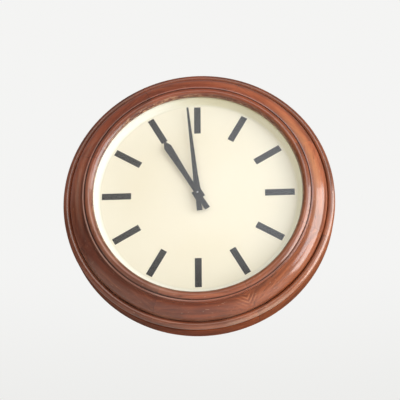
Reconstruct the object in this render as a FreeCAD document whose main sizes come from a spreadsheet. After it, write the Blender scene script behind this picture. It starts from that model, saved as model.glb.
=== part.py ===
import FreeCAD
import Part
import Sketcher
import math
import os
import re

# A wall-hung station clock: a turned wooden case, a glazed cream dial and a
# toothed movement that carries the two hands.
# X runs to the right, Z up, and the front faces -Y. The origin is the centre of
# the case's back plane. A height is a distance forward of that plane.

sizes = {
    # turned surround, from the aperture outward
    "aperture_radius": 228.8,
    "lip_thickness": 3.5,
    "lip_overlap": 7.7,
    "ledge_width": 21.5,
    "roll_width": 18.2,
    "roll_sweep_angle": 148.0,
    "groove_rise": 8.4,
    "groove_width": 1.6,
    "groove_depth": 1.4,
    "fillet_width": 3.6,
    "fillet_step": 8.0,
    "fillet_round": 1.2,
    "band_width": 32.0,
    "crown_width": 16.0,
    "crown_drop": 4.2,
    "crown_sweep_angle": 19.0,
    "quirk_depth": 5.6,
    "bead_radius": 8.4,
    "bead_rise": 7.8,
    "bead_start_angle": 168.0,
    "bead_end_angle": -53.0,
    # rear drum and back board
    "drum_overhang": 1.0,
    "drum_depth": 47.0,
    "drum_wall": 25.0,
    "drum_edge_round": 2.0,
    "board_ledge": 7.0,
    "board_thickness": 12.0,
    "board_recess": 6.0,
    "board_clearance": 0.5,
    "knob_hole_margin": 13.0,
    # glazing
    "glass_gap": 2.1,
    "glass_thickness": 3.0,
    "glass_clearance": 0.5,
    "gasket_thickness": 2.0,
    "gasket_width": 5.0,
    # dial
    "dial_gap": 3.25,
    "dial_thickness": 1.5,
    "dial_rim_margin": 0.9,
    "dial_corner_radius": 8.5,
    "dial_wall_angle": 58.0,
    "dial_hole_margin": 2.4,
    "flange_clearance": 1.5,
    "baton_count": 12,
    "baton_width": 14.6,
    "baton_length": 65.0,
    "baton_margin": 3.5,
    "baton_thickness": 0.4,
    # hands, at the time that they show
    "shown_hour": 10,
    "shown_minute": 59,
    "hand_thickness": 1.4,
    "hour_hand_rise": 7.5,
    "hour_hand_margin": 4.0,
    "hour_tip_width": 5.0,
    "hour_point_length": 12.5,
    "hour_shoulder_width": 17.5,
    "hour_waist_width": 11.2,
    "hour_waist_reach": 50.0,
    "hour_root_width": 10.5,
    "hour_boss_side": 5.4,
    "hour_boss_lip": 1.9,
    "hour_boss_heel": 7.4,
    "minute_hand_gap": 2.5,
    "minute_hand_margin": 3.9,
    "minute_tip_width": 4.4,
    "minute_waist_width": 10.8,
    "minute_waist_reach": 44.0,
    "minute_root_width": 15.0,
    "minute_root_reach": 8.5,
    "minute_neck_reach": 17.0,
    "tail_length": 42.0,
    "tail_width": 12.0,
    "tail_root_width": 10.4,
    "collet_wall": 2.4,
    "collet_gap": 0.7,
    "hour_collet_length": 4.0,
    "nut_radius": 4.4,
    "nut_thickness": 1.5,
    "arbor_tip": 0.6,
    # movement frame
    "movement_gap": 2.0,
    "train_gap": 4.5,
    "plate_thickness": 2.5,
    "plate_rise": 46.0,
    "plate_corner_radius": 8.0,
    "pillar_radius": 4.0,
    "pillar_gap": 4.0,
    "pillar_inset": 8.0,
    "foot_radius": 3.5,
    "foot_drop": 28.0,
    "bush_radius": 4.0,
    "bush_proud": 0.6,
    "post_radius": 1.8,
    "post_tip": 0.8,
    "clip_thickness": 0.8,
    "clip_radius": 3.4,
    # arbors and fits
    "arbor_radius": 2.0,
    "collar_radius": 3.0,
    "collar_length": 2.5,
    "running_clearance": 0.05,
    "seat_clearance": 0.03,
    "pipe_wall": 1.5,
    "pipe_step": 0.75,
    "knob_radius": 11.0,
    "knob_length": 9.0,
    "knob_sink": 0.8,
    "knob_flute_radius": 2.2,
    "knob_flute_depth": 1.1,
    "knob_flute_count": 10,
    "knob_flute_start_angle": 18.0,
    # toothed wheels
    "pressure_angle": 25.0,
    "addendum_share": 0.75,
    "dedendum_share": 1.0,
    "tooth_backlash": 0.14,
    "wheel_thickness": 2.0,
    "mesh_margin": 0.8,
    "pinion_proud": 0.4,
    "motion_module": 1.2,
    "cannon_teeth": 10,
    "minute_wheel_teeth": 30,
    "minute_pinion_teeth": 8,
    "hour_wheel_teeth": 32,
    "train_module": 1.25,
    "centre_wheel_teeth": 36,
    "intermediate_pinion_teeth": 12,
    "rotor_module_share": 0.8,
    "intermediate_wheel_teeth": 50,
    "rotor_pinion_teeth": 10,
    "crossing_count": 5,
    "crossing_share": 0.3,
    # drive
    "rotor_radius": 11.0,
    "rotor_length": 8.0,
    "rotor_rise": 10.5,
    "pole_gap": 1.0,
    "pole_slot_width": 5.0,
    "pole_wall": 2.0,
    "stator_width": 68.0,
    "stator_limb_width": 10.0,
    "stator_post_radius": 3.0,
    "stator_screw_gap": 1.0,
    "bobbin_wall": 1.2,
    "bobbin_flange": 6.5,
    "bobbin_clearance": 0.2,
    "bobbin_end_gap": 4.0,
    "bobbin_side_gap": 4.1,
    "winding_margin": 1.0,
    "terminal_radius": 1.2,
    "terminal_length": 6.0,
    # fasteners
    "screw_clearance": 0.1,
    "wood_screw_radius": 1.8,
    "wood_screw_head_radius": 3.4,
    "wood_screw_head": 2.4,
    "machine_screw_radius": 1.5,
    "machine_screw_head_radius": 2.9,
    "machine_screw_head": 2.0,
    "slot_width_share": 0.34,
    "slot_depth_share": 0.5,
    "machine_screw_length": 8.0,
    "case_screw_count": 6,
    "case_screw_inset": 11.0,
    "case_screw_start_angle": 15.0,
    "case_screw_radius": 2.2,
    "case_screw_head_radius": 4.0,
    "case_screw_sink": 14.0,
    "case_screw_bite": 9.0,
    "case_screw_head": 3.0,
    "dial_screw_count": 6,
    "dial_screw_inset": 13.0,
    "dial_screw_start_angle": 15.0,
    "dial_screw_bite": 9.0,
    "board_screw_count": 6,
    "board_screw_start_angle": 45.0,
    "board_screw_bite": 16.0,
    # hanging and cable entry
    "hanger_inset": 18.0,
    "hanger_width": 96.0,
    "hanger_height": 44.0,
    "hanger_thickness": 2.5,
    "hanger_corner_radius": 6.0,
    "keyhole_radius": 7.0,
    "keyhole_drop": 8.0,
    "keyhole_slot_width": 7.0,
    "keyhole_slot_reach": 10.0,
    "keyhole_pocket_margin": 4.0,
    "hanger_screw_inset": 10.0,
    "hanger_screw_bite": 9.0,
    "grommet_gap": 46.1,
    "grommet_bore_radius": 4.5,
    "grommet_wall": 3.0,
    "grommet_lip": 3.0,
    "grommet_lip_thickness": 2.0,
    "cut_overrun": 1.0,
}

# Sizes that follow from those above
derived = {
    # heights of the stack, from the wall forward
    "board_front": "board_recess + board_thickness",
    "hanger_back": "board_recess - hanger_thickness",
    "knob_back": "board_front - knob_length - knob_sink",
    "back_plate_back": "board_front + movement_gap",
    "back_plate_front": "back_plate_back + plate_thickness",
    "stator_back": "back_plate_front + rotor_rise",
    "stator_front": "stator_back + rotor_length",
    "rotor_pinion_back": "stator_front + train_gap",
    "intermediate_back": "rotor_pinion_back + mesh_margin",
    "train_pinion_back": "intermediate_back + wheel_thickness",
    "centre_wheel_back": "train_pinion_back + mesh_margin",
    "front_plate_back": "centre_wheel_back + wheel_thickness + mesh_margin + bush_proud",
    "front_plate_front": "front_plate_back + plate_thickness",
    "cannon_back": "front_plate_front + bush_proud + mesh_margin",
    "minute_wheel_back": "cannon_back + mesh_margin",
    "minute_pinion_back": "minute_wheel_back + wheel_thickness",
    "hour_wheel_back": "cannon_back + cannon_face + mesh_margin",
    "minute_pinion_front": "hour_wheel_back + wheel_thickness + mesh_margin",
    "clip_back": "minute_pinion_front + running_clearance",
    "post_front": "clip_back + clip_thickness + post_tip",
    "dial_back": "post_front + dial_gap",
    "dial_height": "dial_back + dial_thickness",
    "hour_hand_back": "dial_height + hour_hand_rise",
    "hour_hand_front": "hour_hand_back + hand_thickness",
    "minute_collet_back": "hour_hand_front + collet_gap",
    "minute_hand_back": "hour_hand_front + minute_hand_gap",
    "minute_hand_front": "minute_hand_back + hand_thickness",
    "nut_front": "minute_hand_front + nut_thickness",
    "arbor_front": "nut_front + arbor_tip",
    "glass_back": "arbor_front + glass_gap",
    "lip_height": "glass_back + glass_thickness",
    "ledge_height": "glass_back - gasket_thickness",
    "flange_back": "ledge_height - dial_thickness",
    "cannon_face": "wheel_thickness + 2 * mesh_margin",
    "pinion_face": "wheel_thickness + mesh_margin + pinion_proud",
    "bush_length": "plate_thickness + bush_proud",
    "arbor_span": "front_plate_front - back_plate_back",
    # surround and drum
    "groove_radius": "aperture_radius + roll_width",
    "groove_height": "lip_height + groove_rise",
    "fillet_start": "groove_radius + groove_width",
    "fillet_edge": "fillet_start + fillet_width",
    "bead_in": "fillet_edge + band_width",
    "bead_centre": "bead_in - bead_radius * cos(bead_start_angle * 1 deg)",
    "bead_height": "drum_depth + bead_rise",
    "bead_in_height": "bead_height + bead_radius * sin(bead_start_angle * 1 deg)",
    "bead_out": "bead_centre + bead_radius * cos(bead_end_angle * 1 deg)",
    "bead_out_height": "bead_height + bead_radius * sin(bead_end_angle * 1 deg)",
    "quirk_top": "bead_in_height + quirk_depth",
    "crown_edge": "fillet_edge + crown_width",
    "crown_height": "groove_height - fillet_step - crown_drop",
    "crown_slope_angle": "atan(crown_drop / crown_width) / 1 deg",
    "shoulder_slope_angle": "atan((crown_height - quirk_top) / (bead_in - crown_edge)) / 1 deg",
    "shoulder_sweep_angle": "2 * (shoulder_slope_angle - crown_slope_angle) - crown_sweep_angle",
    "case_radius": "bead_centre + bead_radius + drum_overhang",
    "drum_bore": "case_radius - drum_wall",
    "board_rebate": "drum_bore + board_ledge",
    "board_radius": "board_rebate - board_clearance",
    "knob_hole_radius": "knob_radius + knob_hole_margin",
    "glass_rebate": "aperture_radius + lip_overlap",
    "glass_radius": "glass_rebate - glass_clearance",
    "gasket_bore": "glass_radius - gasket_width",
    "surround_bore": "glass_rebate + ledge_width",
    "flange_radius": "surround_bore - flange_clearance",
    "dial_screw_circle": "surround_bore - dial_screw_inset",
    "case_screw_circle": "case_radius - case_screw_inset",
    "case_screw_length": "drum_depth - case_screw_sink + case_screw_bite",
    "board_screw_circle": "drum_bore + board_ledge / 2",
    "wood_hole": "wood_screw_radius + screw_clearance",
    "machine_hole": "machine_screw_radius + screw_clearance",
    "case_hole": "case_screw_radius + screw_clearance",
    # dial pan, from its rim inward, and the lengths that follow it
    "slope": "dial_wall_angle * 1 deg",
    "outer_bend": "dial_corner_radius + dial_thickness",
    "rim_radius": "gasket_bore - dial_rim_margin",
    "corner_height": "dial_height + dial_corner_radius * (1 - cos(slope))",
    "corner_radius": "rim_radius - (ledge_height - corner_height) / tan(slope)",
    "dial_flat_radius": "corner_radius - dial_corner_radius * sin(slope)",
    "under_radius": "dial_flat_radius + outer_bend * sin(slope)",
    "under_height": "dial_height + dial_corner_radius - outer_bend * cos(slope)",
    "under_rim": "under_radius + (flange_back - under_height) / tan(slope)",
    "baton_outer_radius": "dial_flat_radius - baton_margin",
    "baton_inner_radius": "baton_outer_radius - baton_length",
    "minute_hand_length": "baton_outer_radius - minute_hand_margin",
    "hour_hand_length": "baton_inner_radius - hour_hand_margin",
    "hour_shoulder_reach": "hour_hand_length - hour_point_length",
    # hanger and grommet
    "hanger_top": "drum_bore - hanger_inset",
    "hanger_foot": "hanger_top - hanger_height",
    "hanger_right": "hanger_width / 2 - hanger_screw_inset",
    "hanger_low": "hanger_foot + hanger_screw_inset",
    "hanger_high": "hanger_top - hanger_screw_inset",
    "keyhole_height": "hanger_top - hanger_height / 2 - keyhole_drop",
    "keyhole_top": "keyhole_height + keyhole_slot_reach",
    "pocket_radius": "keyhole_radius + keyhole_pocket_margin",
    "slot_half": "keyhole_slot_width / 2",
    "slot_foot": "keyhole_height + sqrt(keyhole_radius^2 - slot_half^2)",
    "slot_turn": "360 - 2 * asin(slot_half / keyhole_radius) / (1 deg)",
    "grommet_height": "plate_foot - grommet_gap",
    "grommet_seat": "grommet_bore_radius + grommet_wall",
    "grommet_lip_radius": "grommet_seat + grommet_lip",
    # axes of the movement, below the centre and beside it
    "rotor_module": "train_module * rotor_module_share",
    "motion_distance": "(cannon_teeth + minute_wheel_teeth) * motion_module / 2",
    "train_distance": "(centre_wheel_teeth + intermediate_pinion_teeth) * train_module / 2",
    "rotor_distance": "(intermediate_wheel_teeth + rotor_pinion_teeth) * rotor_module / 2",
    "post_across": "-motion_distance",
    "intermediate_height": "-train_distance",
    "rotor_height": "-(train_distance + rotor_distance)",
    # stator and coil
    "pole_radius": "rotor_radius + pole_gap",
    "pole_half_slot": "pole_slot_width / 2",
    "pole_half_chord": "sqrt(pole_radius^2 - pole_half_slot^2)",
    "pole_turn": "180 - 2 * asin(pole_half_slot / pole_radius) / (1 deg)",
    "stator_right": "stator_width / 2",
    "window_right": "stator_right - stator_limb_width",
    "window_height": "bobbin_clearance + flange_grow + bobbin_side_gap",
    "pole_top": "rotor_height + pole_radius + pole_wall",
    "pole_foot": "rotor_height - pole_radius - pole_wall",
    "limb_top": "pole_foot - window_height",
    "limb_foot": "limb_top - stator_limb_width",
    "stator_screw_across": "stator_right - stator_limb_width / 2",
    "stator_screw_height": "pole_foot - window_height / 2",
    "stator_screw_back": "back_plate_front + stator_screw_gap",
    "bobbin_half": "window_right - bobbin_end_gap",
    "coil_middle": "stator_back + rotor_length / 2",
    "coil_height": "limb_top - stator_limb_width / 2",
    "core_half_depth": "rotor_length / 2 + bobbin_clearance",
    "core_half_height": "stator_limb_width / 2 + bobbin_clearance",
    "flange_grow": "bobbin_wall + bobbin_flange",
    "terminal_height": "coil_height - core_half_height - bobbin_wall - bobbin_flange / 2",
    # movement frame
    "plate_half": "stator_right + pillar_gap + pillar_radius + pillar_inset",
    "plate_gap": "front_plate_back - back_plate_front",
    "plate_foot": "coil_height - core_half_height - flange_grow",
    "motion_depth": "dial_back - front_plate_front",
    "pillar_right": "plate_half - pillar_inset",
    "pillar_high": "plate_rise - pillar_inset",
    "pillar_low": "plate_foot + pillar_inset",
    "machine_screw_bite": "machine_screw_length - plate_thickness",
    # bores and pipes
    "bush_hole": "bush_radius + seat_clearance",
    "running_bore": "arbor_radius + running_clearance",
    "seat_bore": "arbor_radius + seat_clearance",
    "post_bore": "post_radius + running_clearance",
    "post_seat": "post_radius + seat_clearance",
    "cannon_radius": "(cannon_teeth / 2 - dedendum_share) * motion_module - pipe_step",
    "pipe_bore": "cannon_radius + running_clearance",
    "pipe_radius": "pipe_bore + pipe_wall",
    "dial_hole_radius": "pipe_radius + dial_hole_margin",
    "hour_hole": "pipe_radius + seat_clearance",
    "hour_boss_width": "2 * (hour_hole + hour_boss_side)",
    "hour_boss_rise": "hour_hole + hour_boss_lip",
    "hour_boss_drop": "hour_hole + hour_boss_heel",
    "minute_hole": "cannon_radius + seat_clearance",
    "flute_circle": "knob_radius + knob_flute_radius - knob_flute_depth",
}

doc = FreeCAD.newDocument("station_clock")
sheet = doc.addObject("Spreadsheet::Sheet", "sizes")
cells = {alias: str(size) for alias, size in sizes.items()}
cells.update({alias: f"={formula}" for alias, formula in derived.items()})
for row, alias in enumerate(cells, 1):
    sheet.set(f"A{row}", alias)
    sheet.setAlias(f"B{row}", alias)
for row, content in enumerate(cells.values(), 1):
    sheet.set(f"B{row}", content)
doc.recompute()

nodes = {}
forward = FreeCAD.Rotation(FreeCAD.Vector(1, 0, 0), 90)
half_turn = FreeCAD.Rotation(FreeCAD.Vector(1, 0, 0), 180)
words = re.compile("[a-z_]+")


def linked(text):
    # an expression with each size's name pointed at its cell
    def link(match):
        word = match.group()
        return "sizes." + word if word in cells else word
    return words.sub(link, text)


def value(text):
    return float(sheet.evalExpression(linked(text)))


def bind(item, path, text):
    item.setExpression(path, linked(text))


def count_of(alias):
    return int(value(alias))


# Sketches


def pin_point(sketch, geometry, corner, across, along):
    # ties one point of a sketch to its two sizes, or to an axis where one is zero
    for kind, axis, text in (("DistanceX", -2, across), ("DistanceY", -1, along)):
        if text == "0":
            sketch.addConstraint(Sketcher.Constraint("PointOnObject", geometry, corner, axis))
        else:
            place = Sketcher.Constraint(kind, geometry, corner, value(text))
            index = sketch.addConstraint(place)
            bind(sketch, f"Constraints[{index}]", text)


def arc_between(start, end, sweep):
    # the arc from start to end that turns left by sweep degrees, or right where it is negative
    half = math.radians(abs(sweep)) / 2
    chord = end - start
    radius = chord.Length / (2 * math.sin(half))
    left = FreeCAD.Vector(-chord.y, chord.x, 0).normalize()
    side = math.copysign(1, sweep)
    centre = (start + end) / 2 + left * (side * radius * math.cos(half))
    first, last = (start, end) if side > 0 else (end, start)
    opening = math.atan2(first.y - centre.y, first.x - centre.x)
    closing = math.atan2(last.y - centre.y, last.x - centre.x)
    if closing < opening:
        closing += 2 * math.pi
    circle = Part.Circle(centre, FreeCAD.Vector(0, 0, 1), radius)
    return Part.ArcOfCircle(circle, opening, closing)


def draw_outline(sketch, points, bends):
    # a closed outline through points; bends gives the sweep of each edge that is an arc
    corners = [FreeCAD.Vector(value(across), value(along), 0) for across, along in points]
    ends = []
    for index, start in enumerate(corners):
        following = (index + 1) % len(corners)
        end = corners[following]
        sweep = value(bends[index]) if index in bends else 0
        if sweep:
            geometry = sketch.addGeometry(arc_between(start, end, sweep), False)
            reach = f"({points[following][0]} - {points[index][0]})"
            rise = f"({points[following][1]} - {points[index][1]})"
            radius = f"sqrt({reach}^2 + {rise}^2) / (2 * sin(abs({bends[index]}) / 2 * 1 deg))"
            place = Sketcher.Constraint("Radius", geometry, value(radius))
            bind(sketch, f"Constraints[{sketch.addConstraint(place)}]", radius)
            ends.append((geometry, 1, 2) if sweep > 0 else (geometry, 2, 1))
        else:
            geometry = sketch.addGeometry(Part.LineSegment(start, end), False)
            ends.append((geometry, 1, 2))
    for index, (geometry, opening, closing) in enumerate(ends):
        following, begins, _ = ends[(index + 1) % len(ends)]
        sketch.addConstraint(Sketcher.Constraint("Coincident", geometry, closing, following, begins))
        pin_point(sketch, geometry, opening, *points[index])


def draw_circle(sketch, across, along, radius):
    centre = FreeCAD.Vector(value(across), value(along), 0)
    circle = Part.Circle(centre, FreeCAD.Vector(0, 0, 1), value(radius))
    geometry = sketch.addGeometry(circle, False)
    place = Sketcher.Constraint("Radius", geometry, value(radius))
    bind(sketch, f"Constraints[{sketch.addConstraint(place)}]", radius)
    pin_point(sketch, geometry, 3, across, along)


def rounded_box(left, right, bottom, top, corner):
    # points and bends of an upright rectangle with round corners
    points = [(f"({left} + {corner})", bottom), (f"({right} - {corner})", bottom),
              (right, f"({bottom} + {corner})"), (right, f"({top} - {corner})"),
              (f"({right} - {corner})", top), (f"({left} + {corner})", top),
              (left, f"({top} - {corner})"), (left, f"({bottom} + {corner})")]
    return points, {1: "90", 3: "90", 5: "90", 7: "90"}


def ring_places(radius, count, start_angle):
    # centres of a ring of holes or screws round the clock's axis
    places = []
    for index in range(count_of(count)):
        turn = f"({start_angle} + {index} * 360 / {count}) * 1 deg"
        places.append((f"({radius}) * cos({turn})", f"({radius}) * sin({turn})"))
    return places


# Bodies


def new_body(label):
    body = doc.addObject("PartDesign::Body", label)
    body.Label = label
    body.AllowCompound = True
    return body


def new_sketch(body, plane_role):
    plane = next(item for item in body.Origin.OriginFeatures if item.Role == plane_role)
    sketch = body.newObject("Sketcher::SketchObject", body.Label + "_sketch")
    sketch.AttachmentSupport = (plane, [""])
    sketch.MapMode = "FlatFace"
    return sketch


def front_sketch(body, height):
    # a sketch that faces the front, at a height: across is X, along is Z
    sketch = new_sketch(body, "XZ_Plane")
    bind(sketch, "AttachmentOffset.Base.z", height)
    return sketch


def add_pad(body, sketch, length):
    pad = body.newObject("PartDesign::Pad", body.Label + "_pad")
    pad.Profile = sketch
    bind(pad, "Length", length)
    body.Tip = pad
    return pad


def cut_forward(body, sketch, depth):
    pocket = body.newObject("PartDesign::Pocket", body.Label + "_cut")
    pocket.Profile = sketch
    pocket.Reversed = True
    bind(pocket, "Length", depth)
    body.Tip = pocket


def bore(body, places, radius, height, depth):
    # round holes cut forward from a height
    sketch = front_sketch(body, height)
    for across, along in places:
        draw_circle(sketch, across, along, radius)
    cut_forward(body, sketch, depth)


def turned(label, points, bends, across="0", up="0"):
    # a profile of (radius, height) points turned about an axis that runs from front to back
    body = new_body(label)
    sketch = new_sketch(body, "XY_Plane")
    sketch.AttachmentOffset = FreeCAD.Placement(FreeCAD.Vector(), half_turn)
    draw_outline(sketch, points, bends)
    turn = body.newObject("PartDesign::Revolution", label + "_turn")
    turn.Profile = sketch
    turn.ReferenceAxis = (sketch, ["V_Axis"])
    body.Tip = turn
    bind(body, "Placement.Base.x", across)
    bind(body, "Placement.Base.z", up)
    nodes[label] = body
    return body


def plate(label, outline, height, thickness, holes=()):
    # a flat piece that faces the front, with round holes of (across, up, radius)
    body = new_body(label)
    sketch = front_sketch(body, height)
    draw_outline(sketch, *outline)
    for hole in holes:
        draw_circle(sketch, *hole)
    add_pad(body, sketch, thickness)
    nodes[label] = body
    return body


def studs(label, places, stages):
    # round pieces at places; each stage is (radius, bore radius or none, height, length)
    body = new_body(label)
    for radius, hollow, height, length in stages:
        sketch = front_sketch(body, height)
        for across, along in places:
            draw_circle(sketch, across, along, radius)
            if hollow:
                draw_circle(sketch, across, along, hollow)
        add_pad(body, sketch, length)
    nodes[label] = body
    return body


def driver_slots(body, places, head_radius, height, depth):
    # straight slots cut forward from a height, one right across each screw's head
    sketch = front_sketch(body, height)
    half_width = f"{head_radius} * slot_width_share / 2"
    for across, along in places:
        left = f"({across} - {head_radius} - cut_overrun)"
        right = f"({across} + {head_radius} + cut_overrun)"
        low = f"({along} - {half_width})"
        high = f"({along} + {half_width})"
        draw_outline(sketch, [(left, low), (right, low), (right, high), (left, high)], {})
    cut_forward(body, sketch, depth)


def screws(label, places, head_radius, head, shank_radius, seat, shank_length):
    # slotted screws put in from the back: each head lies behind its seat and its shank ahead of it
    body = studs(label, places, [
        (head_radius, None, f"({seat} - {head})", head),
        (shank_radius, None, seat, shank_length),
    ])
    driver_slots(body, places, head_radius, f"({seat} - {head} - cut_overrun)",
                 f"({head} * slot_depth_share + cut_overrun)")


# Rings of screws

case_places = ring_places("case_screw_circle", "case_screw_count", "case_screw_start_angle")
dial_places = ring_places("dial_screw_circle", "dial_screw_count", "dial_screw_start_angle")
board_places = ring_places("board_screw_circle", "board_screw_count", "board_screw_start_angle")

# Rear drum: the plain side of the case, with a rebate for the back board

drum = turned("rear_drum", [
    ("board_rebate", "0"),
    ("(case_radius - drum_edge_round)", "0"),
    ("case_radius", "drum_edge_round"),
    ("case_radius", "(drum_depth - drum_edge_round)"),
    ("(case_radius - drum_edge_round)", "drum_depth"),
    ("drum_bore", "drum_depth"),
    ("drum_bore", "board_front"),
    ("board_rebate", "board_front"),
], {1: "90", 3: "90"})
bore(drum, case_places, "(case_screw_head_radius + screw_clearance)", "0", "case_screw_sink")
bore(drum, case_places, "case_hole", "case_screw_sink", "drum_depth")
bore(drum, board_places, "wood_hole", "board_front", "(board_screw_bite + cut_overrun)")

# Front surround: inner roll, groove, fillet, broad ovolo band, quirk and bead,
# with the glass rebate and the dial ledge behind

surround = turned("front_surround", [
    ("aperture_radius", "lip_height"),
    ("aperture_radius", "(lip_height + lip_thickness)"),
    ("groove_radius", "groove_height"),
    ("(groove_radius + groove_width / 2)", "(groove_height - groove_depth)"),
    ("fillet_start", "groove_height"),
    ("(fillet_edge - fillet_round)", "groove_height"),
    ("fillet_edge", "(groove_height - fillet_round)"),
    ("fillet_edge", "(groove_height - fillet_step)"),
    ("crown_edge", "crown_height"),
    ("bead_in", "quirk_top"),
    ("bead_in", "bead_in_height"),
    ("bead_out", "bead_out_height"),
    ("bead_out", "drum_depth"),
    ("surround_bore", "drum_depth"),
    ("surround_bore", "ledge_height"),
    ("glass_rebate", "ledge_height"),
    ("glass_rebate", "lip_height"),
], {1: "-roll_sweep_angle", 5: "-90", 7: "-crown_sweep_angle", 8: "-shoulder_sweep_angle",
    10: "(bead_end_angle - bead_start_angle)"})
bore(surround, dial_places, "wood_hole", "ledge_height", "dial_screw_bite")
bore(surround, case_places, "case_hole", "drum_depth", "(case_screw_bite + cut_overrun)")

screws("case_screws", case_places, "case_screw_head_radius", "case_screw_head",
       "case_screw_radius", "case_screw_sink", "case_screw_length")

# Glass and its gasket, held in the rebate by the dial's flange

studs("glass_pane", [("0", "0")], [("glass_radius", None, "glass_back", "glass_thickness")])
studs("glass_gasket", [("0", "0")],
      [("glass_radius", "gasket_bore", "ledge_height", "gasket_thickness")])

# Dial pan: a spun sheet with a soft corner, a sloping edge and a flat flange

dial = turned("dial_pan", [
    ("dial_hole_radius", "dial_height"),
    ("dial_flat_radius", "dial_height"),
    ("corner_radius", "corner_height"),
    ("rim_radius", "ledge_height"),
    ("flange_radius", "ledge_height"),
    ("flange_radius", "flange_back"),
    ("under_rim", "flange_back"),
    ("under_radius", "under_height"),
    ("dial_flat_radius", "dial_back"),
    ("dial_hole_radius", "dial_back"),
], {1: "dial_wall_angle", 7: "-dial_wall_angle"})
bore(dial, dial_places, "wood_hole", "(flange_back - cut_overrun)", "(dial_thickness + 2 * cut_overrun)")
screws("dial_screws", dial_places, "wood_screw_head_radius", "wood_screw_head",
       "wood_screw_radius", "flange_back", "dial_screw_bite")

batons = new_body("hour_batons")
baton_sketch = front_sketch(batons, "dial_height")
draw_outline(baton_sketch, [
    ("-baton_width / 2", "baton_inner_radius"),
    ("baton_width / 2", "baton_inner_radius"),
    ("baton_width / 2", "baton_outer_radius"),
    ("-baton_width / 2", "baton_outer_radius"),
], {})
baton = add_pad(batons, baton_sketch, "baton_thickness")
ring = batons.newObject("PartDesign::PolarPattern", "hour_batons_ring")
ring.Originals = [baton]
clock_axis = next(item for item in batons.Origin.OriginFeatures if item.Role == "Y_Axis")
ring.Axis = (clock_axis, [""])
bind(ring, "Occurrences", "baton_count")
batons.Tip = ring
nodes["hour_batons"] = batons

# Back board, its screws, the hanger plate and the cable grommet

hanger_places = [("(-hanger_right)", "hanger_low"), ("hanger_right", "hanger_low"),
                 ("hanger_right", "hanger_high"), ("(-hanger_right)", "hanger_high")]

board = studs("back_board", [("0", "0")],
              [("board_radius", "knob_hole_radius", "board_recess", "board_thickness")])
bore(board, board_places, "wood_hole", "(board_recess - cut_overrun)", "(board_thickness + 2 * cut_overrun)")
bore(board, hanger_places, "wood_hole",
     "(board_recess - cut_overrun)", "(hanger_screw_bite + 2 * cut_overrun)")
bore(board, [("0", "grommet_height")], "grommet_seat",
     "(board_recess - cut_overrun)", "(board_thickness + 2 * cut_overrun)")
pocket_sketch = front_sketch(board, "(board_recess - cut_overrun)")
draw_outline(pocket_sketch, [
    ("(-pocket_radius)", "keyhole_height"),
    ("0", "(keyhole_height - pocket_radius)"),
    ("pocket_radius", "keyhole_height"),
    ("pocket_radius", "keyhole_top"),
    ("0", "(keyhole_top + pocket_radius)"),
    ("(-pocket_radius)", "keyhole_top"),
], {0: "90", 1: "90", 3: "90", 4: "90"})
keyhole_pocket = board.newObject("PartDesign::Pocket", "keyhole_pocket")
keyhole_pocket.Profile = pocket_sketch
keyhole_pocket.Reversed = True
bind(keyhole_pocket, "Length", "(board_thickness + 2 * cut_overrun)")
board.Tip = keyhole_pocket

screws("back_board_screws", board_places, "wood_screw_head_radius", "wood_screw_head",
       "wood_screw_radius", "board_recess", "(board_thickness + board_screw_bite)")

hanger = plate("hanger_plate",
               rounded_box("(-hanger_width / 2)", "(hanger_width / 2)", "hanger_foot", "hanger_top",
                           "hanger_corner_radius"),
               "hanger_back", "hanger_thickness", [(*place, "wood_hole") for place in hanger_places])
keyhole_sketch = front_sketch(hanger, "(hanger_back - cut_overrun)")
draw_outline(keyhole_sketch, [
    ("(-slot_half)", "slot_foot"),
    ("slot_half", "slot_foot"),
    ("slot_half", "keyhole_top"),
    ("0", "(keyhole_top + slot_half)"),
    ("(-slot_half)", "keyhole_top"),
], {0: "slot_turn", 2: "90", 3: "90"})
keyhole = hanger.newObject("PartDesign::Pocket", "keyhole")
keyhole.Profile = keyhole_sketch
keyhole.Reversed = True
bind(keyhole, "Length", "(hanger_thickness + 2 * cut_overrun)")
hanger.Tip = keyhole

screws("hanger_screws", hanger_places, "wood_screw_head_radius", "wood_screw_head",
       "wood_screw_radius", "hanger_back", "(hanger_thickness + hanger_screw_bite)")

turned("cable_grommet", [
    ("grommet_bore_radius", "(board_recess - grommet_lip_thickness)"),
    ("grommet_lip_radius", "(board_recess - grommet_lip_thickness)"),
    ("grommet_lip_radius", "board_recess"),
    ("(grommet_seat - seat_clearance)", "board_recess"),
    ("(grommet_seat - seat_clearance)", "board_front"),
    ("grommet_lip_radius", "board_front"),
    ("grommet_lip_radius", "(board_front + grommet_lip_thickness)"),
    ("grommet_bore_radius", "(board_front + grommet_lip_thickness)"),
], {}, "0", "grommet_height")

# Places of the movement's axes, below the centre and beside it

arbor_places = [("0", "0"), ("0", "intermediate_height"), ("0", "rotor_height")]

# Stator: a closed core with two pole shoes round the rotor, and its coil below

stator_places = [("(-stator_screw_across)", "stator_screw_height"),
                 ("stator_screw_across", "stator_screw_height")]

core_outline = [
    ("pole_half_slot", "pole_top"),
    ("stator_right", "pole_top"),
    ("stator_right", "limb_foot"),
    ("(-stator_right)", "limb_foot"),
    ("(-stator_right)", "pole_top"),
    ("(-pole_half_slot)", "pole_top"),
    ("(-pole_half_slot)", "(rotor_height + pole_half_chord)"),
    ("(-pole_half_slot)", "(rotor_height - pole_half_chord)"),
    ("(-pole_half_slot)", "pole_foot"),
    ("(-window_right)", "pole_foot"),
    ("(-window_right)", "limb_top"),
    ("window_right", "limb_top"),
    ("window_right", "pole_foot"),
    ("pole_half_slot", "pole_foot"),
    ("pole_half_slot", "(rotor_height - pole_half_chord)"),
    ("pole_half_slot", "(rotor_height + pole_half_chord)"),
]
plate("stator_core", (core_outline, {6: "pole_turn", 14: "pole_turn"}), "stator_back", "rotor_length",
      [(*place, "machine_hole") for place in stator_places])
studs("stator_posts", stator_places,
      [("stator_post_radius", "machine_hole", "back_plate_front", "rotor_rise")])
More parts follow.
